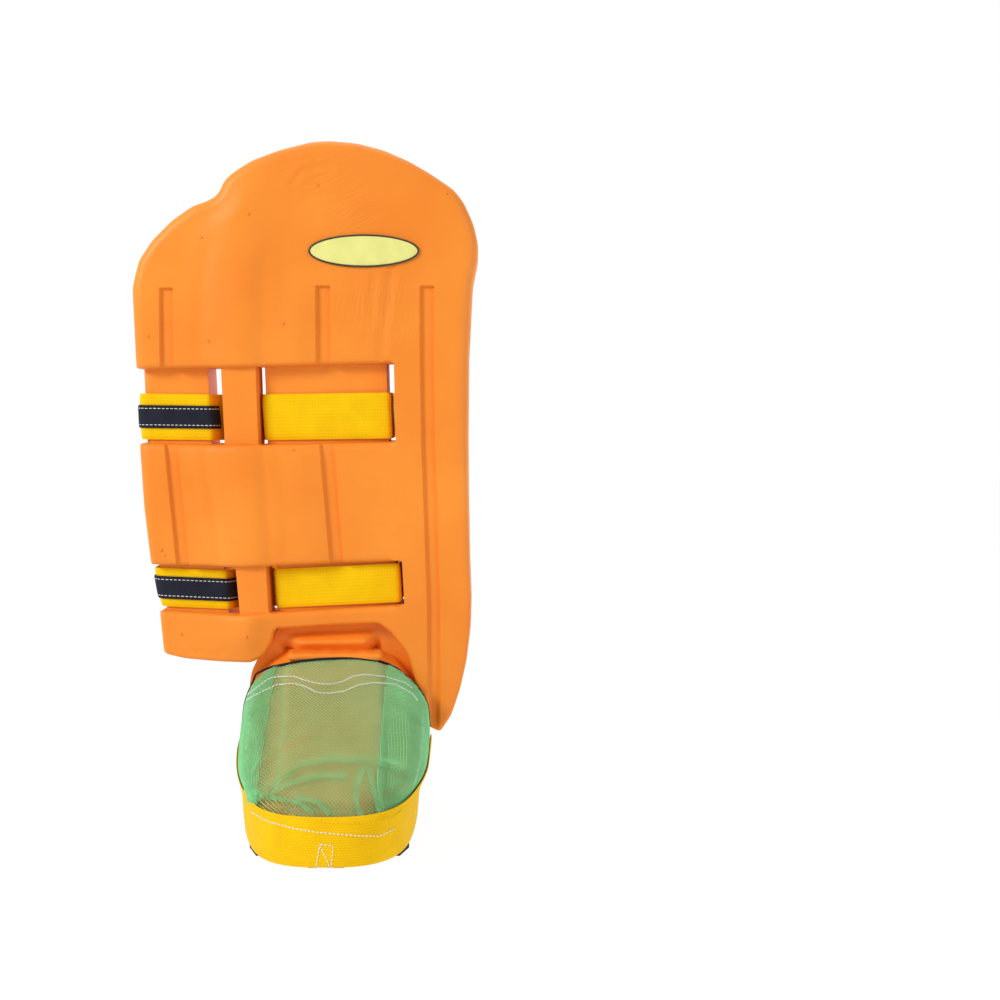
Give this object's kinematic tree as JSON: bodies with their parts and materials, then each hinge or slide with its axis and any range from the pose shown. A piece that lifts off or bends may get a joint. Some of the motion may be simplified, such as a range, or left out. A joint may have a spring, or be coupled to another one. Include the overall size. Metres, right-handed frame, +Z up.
{
  "type": "leg guard with foot guard",
  "caption": "moulded foam shin and knee guard on a foam foot guard under a net cover, with elastic straps, hook tape, toe webbing and sole webbing",
  "frame": {"origin": "middle of the whole part's footprint, on the floor under the foot guard", "axes": "X to the right as the guard is seen from the front, -Y to the toe and the viewer, Z up the leg"},
  "size_m": [0.2997, 0.3159, 0.5915],
  "materials": {
    "pad_foam": "orange closed-cell foam with a smooth moulded skin, soft satin sheen, fine pimples and creases",
    "strap_yellow": "yellow woven elastic and webbing, fine cross ribs, matte",
    "tape_black": "black woven tape, hook side out, matte",
    "net_green": "green open net cloth over the foam, matte threads",
    "plate_yellow": "pale yellow flexible plastic with a thin dark rim, plain"
  },
  "bodies": {
    "root": {"pad_shell": "pad_foam", "foot_guard": "pad_foam", "badge_plate": "plate_yellow", "upper_strap": "strap_yellow", "lower_strap": "strap_yellow", "toe_band": "strap_yellow", "upper_hook_tape": "tape_black", "lower_hook_tape": "tape_black", "cover_binding": "tape_black", "sole_cross_strap": "tape_black", "sole_toe_strap": "tape_black", "mesh_cover": "net_green"}
  },
  "joints": []
}
